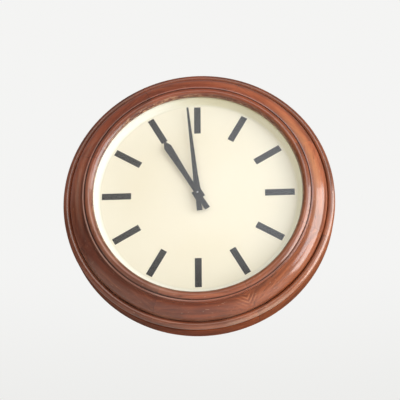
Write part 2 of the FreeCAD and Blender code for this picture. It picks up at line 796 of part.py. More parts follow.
stator_screws = studs("stator_screws", stator_places, [
    ("machine_screw_radius", None, "stator_screw_back", "(stator_front - stator_screw_back)"),
    ("machine_screw_head_radius", None, "stator_front", "machine_screw_head"),
])
driver_slots(stator_screws, stator_places, "machine_screw_head_radius",
             "(stator_front + machine_screw_head * (1 - slot_depth_share))",
             "(machine_screw_head * slot_depth_share + cut_overrun)")

# Coil: a flanged bobbin on the core's lower limb, its taped winding and two terminals


def coil_box(grow):
    # a rectangle round the core's limb, seen along X: across is Y, along is Z
    depth = f"(core_half_depth + {grow})"
    rise = f"(core_half_height + {grow})"
    back = f"(-coil_middle + {depth})"
    front = f"(-coil_middle - {depth})"
    return [(front, f"(coil_height - {rise})"), (back, f"(coil_height - {rise})"),
            (back, f"(coil_height + {rise})"), (front, f"(coil_height + {rise})")]


def side_ring(body, outer, inner, across, length):
    # a rectangular ring padded along X
    sketch = new_sketch(body, "YZ_Plane")
    bind(sketch, "AttachmentOffset.Base.z", across)
    draw_outline(sketch, coil_box(outer), {})
    draw_outline(sketch, coil_box(inner), {})
    add_pad(body, sketch, length)


bobbin = new_body("coil_bobbin")
side_ring(bobbin, "flange_grow", "0", "(-bobbin_half)", "bobbin_wall")
side_ring(bobbin, "bobbin_wall", "0", "(-bobbin_half)", "(2 * bobbin_half)")
side_ring(bobbin, "flange_grow", "0", "(bobbin_half - bobbin_wall)", "bobbin_wall")
nodes["coil_bobbin"] = bobbin

winding = new_body("coil_winding")
side_ring(winding, "(flange_grow - winding_margin)", "(bobbin_wall + seat_clearance)",
          "(bobbin_wall - bobbin_half)", "(2 * bobbin_half - 2 * bobbin_wall)")
nodes["coil_winding"] = winding

terminals = new_body("coil_terminals")
terminal_sketch = new_sketch(terminals, "YZ_Plane")
bind(terminal_sketch, "AttachmentOffset.Base.z", "bobbin_half")
for side in ("-", "+"):
    across = f"(-coil_middle {side} core_half_depth)"
    draw_circle(terminal_sketch, across, "terminal_height", "terminal_radius")
add_pad(terminals, terminal_sketch, "terminal_length")
nodes["coil_terminals"] = terminals

# Movement frame: two plates, four pillars, three feet on the dial's back

pillar_places = [("(-pillar_right)", "pillar_low"), ("pillar_right", "pillar_low"),
                 ("pillar_right", "pillar_high"), ("(-pillar_right)", "pillar_high")]
foot_places = [("(-pillar_right)", "-foot_drop"), ("pillar_right", "-foot_drop"), ("0", "pillar_high")]
outline = rounded_box("(-plate_half)", "plate_half", "plate_foot", "plate_rise", "plate_corner_radius")
bush_holes = [(*place, "bush_hole") for place in arbor_places]

plate("front_plate", outline, "front_plate_back", "plate_thickness",
      bush_holes + [(*place, "machine_hole") for place in foot_places]
      + [("post_across", "0", "post_seat")])
plate("back_plate", outline, "back_plate_back", "plate_thickness",
      bush_holes + [(*place, "machine_hole") for place in pillar_places])
pillars = studs("plate_pillars", pillar_places, [("pillar_radius", None, "back_plate_front", "plate_gap")])
bore(pillars, pillar_places, "machine_hole", "(back_plate_front - cut_overrun)",
     "(machine_screw_bite + 2 * cut_overrun)")
screws("plate_screws", pillar_places, "machine_screw_head_radius", "machine_screw_head",
       "machine_screw_radius", "back_plate_back", "machine_screw_length")
feet = studs("dial_feet", foot_places, [("foot_radius", None, "front_plate_front", "motion_depth")])
bore(feet, foot_places, "machine_hole", "(front_plate_front - cut_overrun)",
     "(machine_screw_bite + 2 * cut_overrun)")
screws("movement_screws", foot_places, "machine_screw_head_radius", "machine_screw_head",
       "machine_screw_radius", "front_plate_back", "machine_screw_length")
studs("arbor_bushes", arbor_places, [
    ("bush_radius", "running_bore", "back_plate_back", "bush_length"),
    ("bush_radius", "running_bore", "(front_plate_back - bush_proud)", "bush_length"),
])

# Toothed wheels


def tooth_angle(teeth, module, radius):
    # half the angle that a tooth spans at a radius, with involute flanks
    pressure = math.radians(value("pressure_angle"))
    pitch = teeth * module / 2
    inner = max(radius, pitch * math.cos(pressure))
    turn = math.acos(pitch * math.cos(pressure) / inner)
    half = (math.pi * module / 2 - value("tooth_backlash")) / 2 / pitch
    return half + math.tan(pressure) - pressure - (math.tan(turn) - turn)


def tooth_wire(teeth, module):
    # the closed outline of all the teeth, the first tooth on local X
    pitch = teeth * module / 2
    root = pitch - value("dedendum_share") * module
    tip = pitch + value("addendum_share") * module
    start = max(root, pitch * math.cos(math.radians(value("pressure_angle"))))
    radii = [root, start, (start + tip) / 2, tip] if start > root else [root, (root + tip) / 2, tip]
    flank = [(radius, tooth_angle(teeth, module, radius)) for radius in radii]
    points = []
    for tooth in range(teeth):
        middle = 2 * math.pi * tooth / teeth
        turns = [(radius, middle - half) for radius, half in flank]
        turns += [(radius, middle + half) for radius, half in reversed(flank)]
        points += [FreeCAD.Vector(r * math.cos(a), r * math.sin(a), 0) for r, a in turns]
    return Part.makePolygon(points + points[:1])


def circle_wire(across, along, radius):
    return Part.Wire(Part.makeCircle(radius, FreeCAD.Vector(across, along, 0)))


def toothed(teeth_alias, module_alias, face, hole, crossings=False):
    # a toothed disc standing on local Z = 0, with round crossings where it is a wheel
    teeth = count_of(teeth_alias)
    module = value(module_alias)
    wires = [tooth_wire(teeth, module), circle_wire(0, 0, value(hole))]
    if crossings:
        root = teeth * module / 2 - value("dedendum_share") * module
        middle = (root + value(hole)) / 2
        radius = value("crossing_share") * (root - value(hole))
        for index in range(count_of("crossing_count")):
            turn = 2 * math.pi * index / count_of("crossing_count")
            wires.append(circle_wire(middle * math.cos(turn), middle * math.sin(turn), radius))
    disc = Part.Face(wires, "Part::FaceMakerBullseye")
    return disc.extrude(FreeCAD.Vector(0, 0, value(face)))


def set_wheel(label, shape, across, up, height, phase):
    # stands a wheel on its arbor, its first tooth at the phase angle
    item = doc.addObject("Part::Feature", label)
    item.Label = label
    item.Shape = shape
    spin = FreeCAD.Rotation(FreeCAD.Vector(0, 0, 1), math.degrees(phase))
    place = FreeCAD.Vector(value(across), -value(height), value(up))
    item.Placement = FreeCAD.Placement(place, forward * spin)
    nodes[label] = item


def mesh_phase(driver, phase, driven, toward):
    # the phase that puts the driven wheel's gap on the driver's tooth, toward its centre
    driver_pitch = 2 * math.pi / count_of(driver)
    driven_pitch = 2 * math.pi / count_of(driven)
    offset = (phase - toward) / driver_pitch
    return toward + math.pi - (offset + 1 / 2) * driven_pitch


left = math.pi
down = -math.pi / 2

# Minute work: arbor, centre wheel, cannon pinion and setting knob

studs("minute_arbor", [("0", "0")], [
    ("arbor_radius", None, "knob_back", "(arbor_front - knob_back)"),
    ("collar_radius", None, "(centre_wheel_back - collar_length)", "collar_length"),
])
set_wheel("centre_wheel", toothed("centre_wheel_teeth", "train_module", "wheel_thickness", "seat_bore", True),
          "0", "0", "centre_wheel_back", 0)
cannon = toothed("cannon_teeth", "motion_module", "cannon_face", "seat_bore")
pipe_length = value("minute_hand_front - cannon_back")
cannon_pipe = Part.makeCylinder(value("cannon_radius"), pipe_length)
cannon_pipe = cannon_pipe.cut(Part.makeCylinder(value("seat_bore"), pipe_length))
set_wheel("cannon_pinion", cannon.fuse(cannon_pipe).removeSplitter(), "0", "0", "cannon_back", 0)

knob = studs("setting_knob", [("0", "0")], [("knob_radius", "seat_bore", "knob_back", "knob_length")])
bore(knob, ring_places("flute_circle", "knob_flute_count", "knob_flute_start_angle"),
     "knob_flute_radius", "(knob_back - cut_overrun)", "(knob_length + 2 * cut_overrun)")

# Minute wheel and pinion, turning on a post in the front plate

minute_wheel_phase = mesh_phase("cannon_teeth", 0, "minute_wheel_teeth", left)
set_wheel("minute_wheel",
          toothed("minute_wheel_teeth", "motion_module", "wheel_thickness", "post_bore", True),
          "post_across", "0", "minute_wheel_back", minute_wheel_phase)
set_wheel("minute_pinion", toothed("minute_pinion_teeth", "motion_module",
                                   "(minute_pinion_front - minute_pinion_back)", "post_bore"),
          "post_across", "0", "minute_pinion_back", 0)
studs("minute_wheel_post", [("post_across", "0")], [
    ("post_radius", None, "front_plate_back", "(post_front - front_plate_back)"),
    ("clip_radius", "post_radius", "front_plate_front",
     "(minute_wheel_back - front_plate_front - running_clearance)"),
])
studs("post_clip", [("post_across", "0")],
      [("clip_radius", "post_seat", "clip_back", "clip_thickness")])

# Hour work: wheel and pipe turning on the cannon pinion's pipe

hour_wheel_phase = mesh_phase("minute_pinion_teeth", 0, "hour_wheel_teeth", 0)
set_wheel("hour_wheel", toothed("hour_wheel_teeth", "motion_module", "wheel_thickness", "hour_hole", True),
          "0", "0", "hour_wheel_back", hour_wheel_phase)
studs("hour_pipe", [("0", "0")], [
    ("pipe_radius", "pipe_bore", "hour_wheel_back", "(hour_hand_front - hour_wheel_back)"),
])

# Intermediate and rotor arbors between the plates

intermediate_phase = mesh_phase("centre_wheel_teeth", 0, "intermediate_pinion_teeth", down)
set_wheel("intermediate_pinion",
          toothed("intermediate_pinion_teeth", "train_module", "pinion_face", "seat_bore"),
          "0", "intermediate_height", "train_pinion_back", intermediate_phase)
set_wheel("intermediate_wheel",
          toothed("intermediate_wheel_teeth", "rotor_module", "wheel_thickness", "seat_bore", True),
          "0", "intermediate_height", "intermediate_back", 0)
rotor_phase = mesh_phase("intermediate_wheel_teeth", 0, "rotor_pinion_teeth", down)
set_wheel("rotor_pinion", toothed("rotor_pinion_teeth", "rotor_module", "pinion_face", "seat_bore"),
          "0", "rotor_height", "rotor_pinion_back", rotor_phase)
studs("intermediate_arbor", [("0", "intermediate_height")],
      [("arbor_radius", None, "back_plate_back", "arbor_span")])
studs("rotor_arbor", [("0", "rotor_height")], [("arbor_radius", None, "back_plate_back", "arbor_span")])
studs("rotor_magnet", [("0", "rotor_height")], [("rotor_radius", "seat_bore", "stator_back", "rotor_length")])

# Hands, drawn pointing up and turned to the time shown


def hand(label, outline_points, back, hole, turn_share):
    body = plate(label, (outline_points, {}), back, "hand_thickness")
    bore(body, [("0", "0")], hole, f"({back} - cut_overrun)", "(hand_thickness + 2 * cut_overrun)")
    turn = FreeCAD.Rotation(FreeCAD.Vector(0, 1, 0), 360 * turn_share)
    body.Placement = FreeCAD.Placement(FreeCAD.Vector(), turn)


def mirrored(right_side):
    # an outline from its right-hand points, listed from the bottom to the top
    left_side = [(f"(-{across})", along) for across, along in reversed(right_side)]
    return right_side + left_side


minute_share = value("shown_minute / 60")
hour_share = value("(shown_hour + shown_minute / 60) / baton_count")
hour_outline = mirrored([
    ("(tail_width / 2)", "-tail_length"),
    ("(tail_root_width / 2)", "-hour_boss_drop"),
    ("(hour_boss_width / 2)", "-hour_boss_drop"),
    ("(hour_boss_width / 2)", "hour_boss_rise"),
    ("(hour_root_width / 2)", "hour_boss_rise"),
    ("(hour_waist_width / 2)", "hour_waist_reach"),
    ("(hour_shoulder_width / 2)", "hour_shoulder_reach"),
    ("(hour_tip_width / 2)", "hour_hand_length"),
])
minute_outline = mirrored([
    ("(tail_width / 2)", "-tail_length"),
    ("(tail_root_width / 2)", "-minute_neck_reach"),
    ("(minute_root_width / 2)", "minute_root_reach"),
    ("(minute_waist_width / 2)", "minute_waist_reach"),
    ("(minute_tip_width / 2)", "minute_hand_length"),
])
hand("hour_hand", hour_outline, "hour_hand_back", "hour_hole", hour_share)
hand("minute_hand", minute_outline, "minute_hand_back", "minute_hole", minute_share)
studs("hour_collet", [("0", "0")], [
    ("(hour_hole + collet_wall)", "hour_hole",
     "(hour_hand_back - hour_collet_length)", "hour_collet_length"),
])
studs("minute_collet", [("0", "0")], [
    ("(minute_hole + collet_wall)", "minute_hole", "minute_collet_back",
     "(minute_hand_back - minute_collet_back)"),
])
studs("hand_nut", [("0", "0")], [("nut_radius", "seat_bore", "minute_hand_front", "nut_thickness")])

# Checks, then one file for each piece

doc.recompute()
for item in doc.Objects:
    if "Invalid" in item.State or "Error" in item.State:
        raise RuntimeError(f"{item.Label} failed: {item.State}")
for label, item in nodes.items():
    if item.Shape.isNull() or not item.Shape.isValid():
        raise RuntimeError(f"{label} has no valid shape")
os.makedirs("parts", exist_ok=True)
for label, item in nodes.items():
    item.Shape.exportStep(f"parts/{label}.step")
print(len(nodes), "pieces written")
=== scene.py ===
import bpy
import math
from mathutils import Matrix, Vector


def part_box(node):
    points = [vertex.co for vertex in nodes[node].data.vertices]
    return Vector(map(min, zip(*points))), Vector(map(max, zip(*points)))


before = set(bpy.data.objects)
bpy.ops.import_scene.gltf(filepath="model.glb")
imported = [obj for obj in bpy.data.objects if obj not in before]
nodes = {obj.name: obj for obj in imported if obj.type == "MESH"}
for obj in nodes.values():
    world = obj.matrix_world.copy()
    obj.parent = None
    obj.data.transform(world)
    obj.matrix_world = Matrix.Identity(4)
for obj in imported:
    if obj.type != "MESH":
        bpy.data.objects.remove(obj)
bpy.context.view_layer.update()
mm = 0.001

# Reference sizes from the frame, in metres
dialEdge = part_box("hour_batons")[1].x + 3.5 * mm
print("frame loaded,", len(nodes), "nodes")


# Shader graphs

def addNode(tree, kind, inputs=None, **settings):
    made = tree.nodes.new(kind)
    for key, setting in settings.items():
        setattr(made, key, setting)
    for key, source in (inputs or {}).items():
        if isinstance(source, bpy.types.NodeSocket):
            tree.links.new(source, made.inputs[key])
        else:
            made.inputs[key].default_value = source
    return made


def maths(tree, operation, first, second=0.0, third=0.0):
    inputs = {0: first, 1: second, 2: third}
    return addNode(tree, "ShaderNodeMath", inputs, operation=operation).outputs[0]


def noise(tree, vector, scale, detail=3.0, roughness=0.5, distortion=0.0):
    inputs = {"Vector": vector, "Scale": scale, "Detail": detail,
              "Roughness": roughness, "Distortion": distortion}
    return addNode(tree, "ShaderNodeTexNoise", inputs).outputs["Fac"]


def stretch(tree, vector, scale):
    return addNode(tree, "ShaderNodeMapping", {"Vector": vector, "Scale": scale}).outputs[0]


def between(tree, factor, low, high, start=0.0, end=1.0):
    # smooth step of factor from low to high
    inputs = {"Value": factor, "From Min": low, "From Max": high, "To Min": start, "To Max": end}
    return addNode(tree, "ShaderNodeMapRange", inputs, interpolation_type="SMOOTHSTEP").outputs[0]


def bandAt(tree, factor, middle, width):
    # one at the middle, falling to nothing a width away
    away = maths(tree, "ABSOLUTE", maths(tree, "SUBTRACT", factor, middle))
    return between(tree, away, 0.0, width, 1.0, 0.0)


def blend(tree, factor, first, second, mode="MIX"):
    made = addNode(tree, "ShaderNodeMix", data_type="RGBA", blend_type=mode)
    for socket, source in ((made.inputs[0], factor), (made.inputs[6], first), (made.inputs[7], second)):
        if isinstance(source, bpy.types.NodeSocket):
            tree.links.new(source, socket)
        else:
            socket.default_value = source
    return made.outputs[2]


def ramp(tree, factor, stops, interpolation="LINEAR"):
    made = addNode(tree, "ShaderNodeValToRGB", {"Fac": factor})
    made.color_ramp.interpolation = interpolation
    elements = made.color_ramp.elements
    while len(elements) < len(stops):
        elements.new(0.5)
    for element, (position, colour) in zip(elements, stops):
        element.position = position
        element.color = colour
    return made.outputs[0]


def bump(tree, height, strength, distance, normal=None):
    inputs = {"Height": height, "Strength": strength, "Distance": distance}
    if normal:
        inputs["Normal"] = normal
    return addNode(tree, "ShaderNodeBump", inputs).outputs[0]


def newMaterial(name):
    material = bpy.data.materials.new(name)
    material.use_nodes = True
    tree = material.node_tree
    place = addNode(tree, "ShaderNodeTexCoord").outputs["Object"]
    return material, tree, tree.nodes["Principled BSDF"], place


def finishShader(tree, shader, **inputs):
    for key, source in inputs.items():
        socket = shader.inputs[key.replace("_", " ")]
        if isinstance(source, bpy.types.NodeSocket):
            tree.links.new(source, socket)
        else:
            socket.default_value = source


def grey(level):
    return (level, level, level, 1.0)


# Materials

wood = {
    "jointAngle": math.radians(20),
    "jointCount": 8,
    # tones round the ring, clockwise from the bottom, which also paint light and shade by side, and how far
    # single lengths differ from them
    "tonesWithPaintedLight": [(0.00, (0.300, 0.066, 0.023, 1)), (0.10, (0.250, 0.074, 0.041, 1)),
              (0.22, (0.285, 0.082, 0.044, 1)), (0.34, (0.360, 0.080, 0.034, 1)),
              (0.50, (0.292, 0.058, 0.023, 1)), (0.62, (0.335, 0.083, 0.031, 1)),
              (0.76, (0.350, 0.104, 0.042, 1)), (0.87, (0.325, 0.090, 0.031, 1)),
              (1.00, (0.300, 0.066, 0.023, 1))],
    "lengths": [1.00, 1.10, 0.95, 1.08, 0.86, 1.00, 0.92, 1.04],
    "rollEdge": 229 * mm,
    "groove": 247.8 * mm,
    "quirk": 284.2 * mm,
    "quirkShadow": 286.0 * mm,
    "ridge": 291.0 * mm,
    "lipInner": 231.0 * mm,
    "lipOuter": 236.0 * mm,
    "crest": 237.0 * mm,
    # tints by radius and side, mostly painted light and shade: radius and reach in mm, direction of the side,
    # where along that side the tint starts and is full, strength, colour
    "tintsAndPaintedLight": [
        (295.0, 9.0, (0.50, 0.87), 0.0, 0.7, 0.60, (0.055, 0.022, 0.014, 1)),  # painted shade, darker top of the bead
        (299.0, 7.0, (0.64, -0.77), 0.5, 0.95, 0.60, (0.46, 0.27, 0.19, 1)),  # painted sheen, paler bead on the lower right
        (294.0, 8.0, (-0.99, 0.12), 0.6, 1.0, 0.45, (0.055, 0.022, 0.014, 1)),  # painted shade, darker bead on the left
        (265.0, 7.0, (-1.00, 0.05), 0.8, 1.0, 0.35, (0.45, 0.27, 0.20, 1)),  # painted sheen on the band, left
        (267.0, 18.0, (-0.57, -0.82), 0.4, 0.95, 0.72, (0.078, 0.016, 0.012, 1)),  # painted shade, blotchy, on the band at the lower left
        (250.4, 2.6, (-0.80, -0.60), 0.2, 0.9, 0.55, (0.44, 0.29, 0.25, 1)),  # painted highlight along the fillet, lower left
        (246.8, 2.6, (-0.90, -0.44), 0.1, 0.9, 0.85, (0.020, 0.010, 0.008, 1)),  # painted shade, black groove on the left
        (255.5, 4.0, (-0.80, -0.60), 0.2, 0.9, 0.60, (0.045, 0.016, 0.012, 1)),  # painted shadow at the foot of the fillet, lower left
        (237.0, 10.0, (-0.80, -0.60), 0.3, 0.9, 0.30, (0.52, 0.31, 0.22, 1)),  # painted sheen on the roll, lower left
        (284.5, 3.2, (-0.35, -0.94), 0.5, 0.95, 0.60, (0.52, 0.32, 0.24, 1)),  # painted light lifting the quirk's shade at the bottom
        (267.0, 13.0, (0.50, 0.87), 0.6, 1.0, 0.35, (0.64, 0.20, 0.10, 1)),  # painted light, brighter redder band on the upper right
        (262.0, 14.0, (0.97, 0.20), 0.72, 1.0, 0.45, (0.62, 0.28, 0.13, 1)),  # painted light, paler band on the right
    ],
}
flame = {"angle": math.radians(157), "radius": 267 * mm, "slope": 0.8, "waver": 14 * mm, "pitch": 9 * mm,
         "reach": 34 * mm, "height": 17 * mm}


def mahogany(name, shade, wearAndPaintedLight, polish, gloss, dullness):
    material, tree, shader, place = newMaterial(name)
    parts = addNode(tree, "ShaderNodeSeparateXYZ", {0: place})
    across, up = parts.outputs[0], parts.outputs[2]
    # each glued length has its own straight grain, along its chord
    span = 2 * math.pi / wood["jointCount"]
    angle = maths(tree, "ARCTAN2", across, up)
    turns = maths(tree, "DIVIDE", maths(tree, "SUBTRACT", angle, wood["jointAngle"]), span)
    turns = maths(tree, "WRAP", turns, wood["jointCount"], 0.0)
    index = maths(tree, "FLOOR", turns)
    share = maths(tree, "FRACT", turns)
    middle = maths(tree, "MULTIPLY_ADD", maths(tree, "ADD", index, 0.5), span, wood["jointAngle"])
    turned = addNode(tree, "ShaderNodeVectorRotate",
                     {"Vector": place, "Angle": maths(tree, "MULTIPLY", middle, -1.0)},
                     rotation_type="Y_AXIS").outputs[0]
    shift = addNode(tree, "ShaderNodeCombineXYZ",
                    {0: maths(tree, "MULTIPLY", index, 3.17), 1: maths(tree, "MULTIPLY", index, 1.71),
                     2: maths(tree, "MULTIPLY", index, 0.37)}).outputs[0]
    grainSpace = addNode(tree, "ShaderNodeVectorMath", {0: turned, 1: shift}, operation="ADD").outputs[0]
    broad = noise(tree, stretch(tree, grainSpace, (3.0, 26.0, 26.0)), 1.0, 4.0, 0.55, 0.8)
    lines = noise(tree, stretch(tree, grainSpace, (7.0, 190.0, 190.0)), 1.0, 5.0, 0.6, 0.4)
    pores = noise(tree, stretch(tree, grainSpace, (60.0, 1500.0, 1500.0)), 1.0, 2.0, 0.5)
    patches = noise(tree, place, 9.0, 3.0, 0.55)

    # the tones paint light and shade round the ring along with the wood's own colour
    around = between(tree, angle, -math.pi, math.pi)
    around.node.interpolation_type = "LINEAR"
    colour = ramp(tree, around, wood["tonesWithPaintedLight"])
    steps = [(position / wood["jointCount"], grey(shade * level / 1.1))
             for position, level in enumerate(wood["lengths"])]
    step = maths(tree, "DIVIDE", maths(tree, "ADD", index, 0.1), wood["jointCount"])
    colour = blend(tree, 1.0, colour, ramp(tree, step, steps, "CONSTANT"), "MULTIPLY")
    darker = maths(tree, "MULTIPLY", between(tree, broad, 0.44, 0.68), 0.55)
    colour = blend(tree, darker, colour, (0.075, 0.020, 0.010, 1))
    figure = maths(tree, "MULTIPLY", between(tree, lines, 0.44, 0.70), 0.42)
    colour = blend(tree, figure, colour, (0.06, 0.016, 0.009, 1))
    lighter = maths(tree, "MULTIPLY", between(tree, lines, 0.48, 0.25), 0.28)
    colour = blend(tree, lighter, colour, (0.56, 0.20, 0.085, 1))
    colour = blend(tree, maths(tree, "MULTIPLY", between(tree, pores, 0.60, 0.72), 0.5), colour,
                   (0.035, 0.012, 0.008, 1))
    # glue lines where the lengths meet
    radius = maths(tree, "SQRT", maths(tree, "ADD", maths(tree, "MULTIPLY", across, across),
                                       maths(tree, "MULTIPLY", up, up)))
    fromJoint = maths(tree, "MINIMUM", share, maths(tree, "SUBTRACT", 1.0, share))
    jointGap = maths(tree, "MULTIPLY", maths(tree, "MULTIPLY", fromJoint, span), radius)
    joint = between(tree, jointGap, 0.15 * mm, 0.7 * mm, 1.0, 0.0)
    colour = blend(tree, maths(tree, "MULTIPLY", joint, 0.65), colour, (0.03, 0.010, 0.006, 1))
    height = maths(tree, "SUBTRACT", lines, maths(tree, "MULTIPLY", joint, 0.6))
    rough = between(tree, patches, 0.3, 0.75, 0.30, 0.46)
    if wearAndPaintedLight:
        # darker in the groove and quirk, with a painted shadow of the bead in the quirk; pale wear along the
        # roll, and pale wear along the bead's ridge that also paints its highlight
        inGroove = maths(tree, "MULTIPLY", bandAt(tree, radius, wood["groove"], 2.2 * mm), 0.9)
        inQuirk = maths(tree, "MULTIPLY", bandAt(tree, radius, wood["quirk"], 2.0 * mm), 0.15)
        # painted shadow of the bead in the quirk, strongest at the upper right
        quirkShadow = maths(tree, "MULTIPLY", bandAt(tree, radius, wood["quirkShadow"], 3.5 * mm),
                        bandAt(tree, around, 0.64, 0.26))
        inQuirk = maths(tree, "MAXIMUM", inQuirk, maths(tree, "MULTIPLY", quirkShadow, 0.90))
        recessDarkening = maths(tree, "MAXIMUM", inGroove, inQuirk)
        recessDarkening = maths(tree, "MULTIPLY", recessDarkening, between(tree, patches, 0.25, 0.5, 0.55, 0.85))
        colour = blend(tree, recessDarkening, colour, (0.030, 0.012, 0.007, 1))
        # painted shade on the roll's inner face next to the dial
        lip = between(tree, radius, wood["lipInner"], wood["lipOuter"], 0.55, 0.0)
        colour = blend(tree, lip, colour, (0.060, 0.018, 0.009, 1))
        rub = bandAt(tree, radius, wood["rollEdge"], 6.5 * mm)
        flecks = noise(tree, stretch(tree, grainSpace, (60.0, 220.0, 220.0)), 1.0, 4.0, 0.65)
        flecks = between(tree, flecks, 0.48, 0.64)
        rub = maths(tree, "MULTIPLY", maths(tree, "MULTIPLY", rub, flecks),
                    between(tree, bandAt(tree, around, 0.42, 0.12), 0.0, 0.8, 0.45, 1.0))
        colour = blend(tree, maths(tree, "MULTIPLY", rub, 0.95), colour, (0.58, 0.32, 0.17, 1))
        crest = maths(tree, "MULTIPLY", bandAt(tree, radius, wood["crest"], 7.0 * mm),
                      between(tree, patches, 0.35, 0.7))
        colour = blend(tree, maths(tree, "MULTIPLY", crest, 0.30), colour, (0.42, 0.17, 0.09, 1))
        # pale wear along the bead's ridge that also paints the ridge's highlight line
        ridge = maths(tree, "MULTIPLY", bandAt(tree, radius, wood["ridge"], 4.0 * mm),
                      between(tree, patches, 0.30, 0.65, 0.4, 1.0))
        colour = blend(tree, maths(tree, "MULTIPLY", ridge, 0.40), colour, (0.50, 0.22, 0.13, 1))
        # flame figure in the bottom length
        arc = maths(tree, "MULTIPLY", maths(tree, "SUBTRACT", angle, flame["angle"]), flame["radius"])
        arc = maths(tree, "ABSOLUTE", arc)
        rows = maths(tree, "MULTIPLY_ADD", arc, flame["slope"], radius)
        rows = maths(tree, "MULTIPLY_ADD", patches, flame["waver"], rows)
        rows = maths(tree, "SINE", maths(tree, "MULTIPLY", rows, 2 * math.pi / flame["pitch"]))
        patch = maths(tree, "MULTIPLY", bandAt(tree, arc, 0.0, flame["reach"]),
                      bandAt(tree, radius, flame["radius"], flame["height"]))
        lit = maths(tree, "MULTIPLY", patch, between(tree, rows, 0.0, 1.0, 0.0, 0.55))
        colour = blend(tree, lit, colour, (0.56, 0.22, 0.10, 1))
        shaded = maths(tree, "MULTIPLY", patch, between(tree, rows, 0.0, -1.0, 0.0, 0.45))
        colour = blend(tree, shaded, colour, (0.09, 0.022, 0.012, 1))
        # painted light and shade by side and radius, from the table above
        for ringRadius, reach, side, start, full, strength, tint in wood["tintsAndPaintedLight"]:
            lean = maths(tree, "ADD", maths(tree, "MULTIPLY", across, side[0]),
                         maths(tree, "MULTIPLY", up, side[1]))
            lean = between(tree, maths(tree, "DIVIDE", lean, radius), start, full)
            ring = maths(tree, "MULTIPLY", bandAt(tree, radius, ringRadius * mm, reach * mm), lean)
            ring = maths(tree, "MULTIPLY", ring, between(tree, patches, 0.38, 0.58, 0.35, 1.0))
            colour = blend(tree, maths(tree, "MULTIPLY", ring, strength), colour, tint)
        # pale nicks and dark scuffs along the grain
        nicks = noise(tree, stretch(tree, grainSpace, (110.0, 330.0, 330.0)), 1.0, 3.0, 0.6)
        colour = blend(tree, between(tree, nicks, 0.66, 0.72, 0.0, 0.45), colour, (0.58, 0.34, 0.22, 1))
        scuffs = noise(tree, stretch(tree, grainSpace, (24.0, 260.0, 260.0)), 1.0, 4.0, 0.7)
        colour = blend(tree, between(tree, scuffs, 0.60, 0.70, 0.0, 0.6), colour, (0.040, 0.016, 0.011, 1))
        rough = maths(tree, "ADD", rough, maths(tree, "MULTIPLY", recessDarkening, 0.3))
    marks = noise(tree, stretch(tree, place, (300.0, 300.0, 900.0)), 1.0, 2.0, 0.7)
    rough = maths(tree, "ADD", rough, between(tree, marks, 0.62, 0.8, 0.0, 0.15))
    waves = noise(tree, place, 26.0, 2.0, 0.5)
    soft = bump(tree, waves, 0.18, 1.2 * mm)
    fine = bump(tree, height, 0.22, 0.25 * mm, soft)
    finishShader(tree, shader, Base_Color=colour, Roughness=maths(tree, "ADD", rough, dullness), Normal=fine,
                 Specular_IOR_Level=gloss, Coat_Weight=polish, Coat_Roughness=0.15, Coat_IOR=1.7,
                 Coat_Normal=soft)
    return material


def plywoodMaterial():
    material, tree, shader, place = newMaterial("plywood")
    rings = noise(tree, stretch(tree, place, (5.0, 60.0, 70.0)), 1.0, 5.0, 0.6, 0.9)
    fibres = noise(tree, stretch(tree, place, (45.0, 900.0, 900.0)), 1.0, 3.0, 0.6)
    stains = noise(tree, place, 7.0, 4.0, 0.6)
    colour = ramp(tree, rings, [(0.30, (0.36, 0.22, 0.12, 1)), (0.52, (0.46, 0.30, 0.17, 1)),
                                (0.75, (0.30, 0.17, 0.09, 1))])
    colour = blend(tree, maths(tree, "MULTIPLY", between(tree, fibres, 0.5, 0.75), 0.4), colour,
                   (0.20, 0.11, 0.06, 1))
    colour = blend(tree, maths(tree, "MULTIPLY", between(tree, stains, 0.52, 0.75), 0.45), colour,
                   (0.16, 0.10, 0.065, 1))
    finishShader(tree, shader, Base_Color=colour, Roughness=between(tree, stains, 0.2, 0.8, 0.62, 0.85),
                 Normal=bump(tree, fibres, 0.3, 0.2 * mm))
    return material


dial = {"paleFrom": 120.0 * mm, "paleTo": dialEdge - 8.0 * mm, "rimFrom": dialEdge - 2.0 * mm,
        "rimTo": dialEdge + 5.0 * mm, "foldReach": 3.0 * mm, "shadedSide": (0.80, 0.60)}


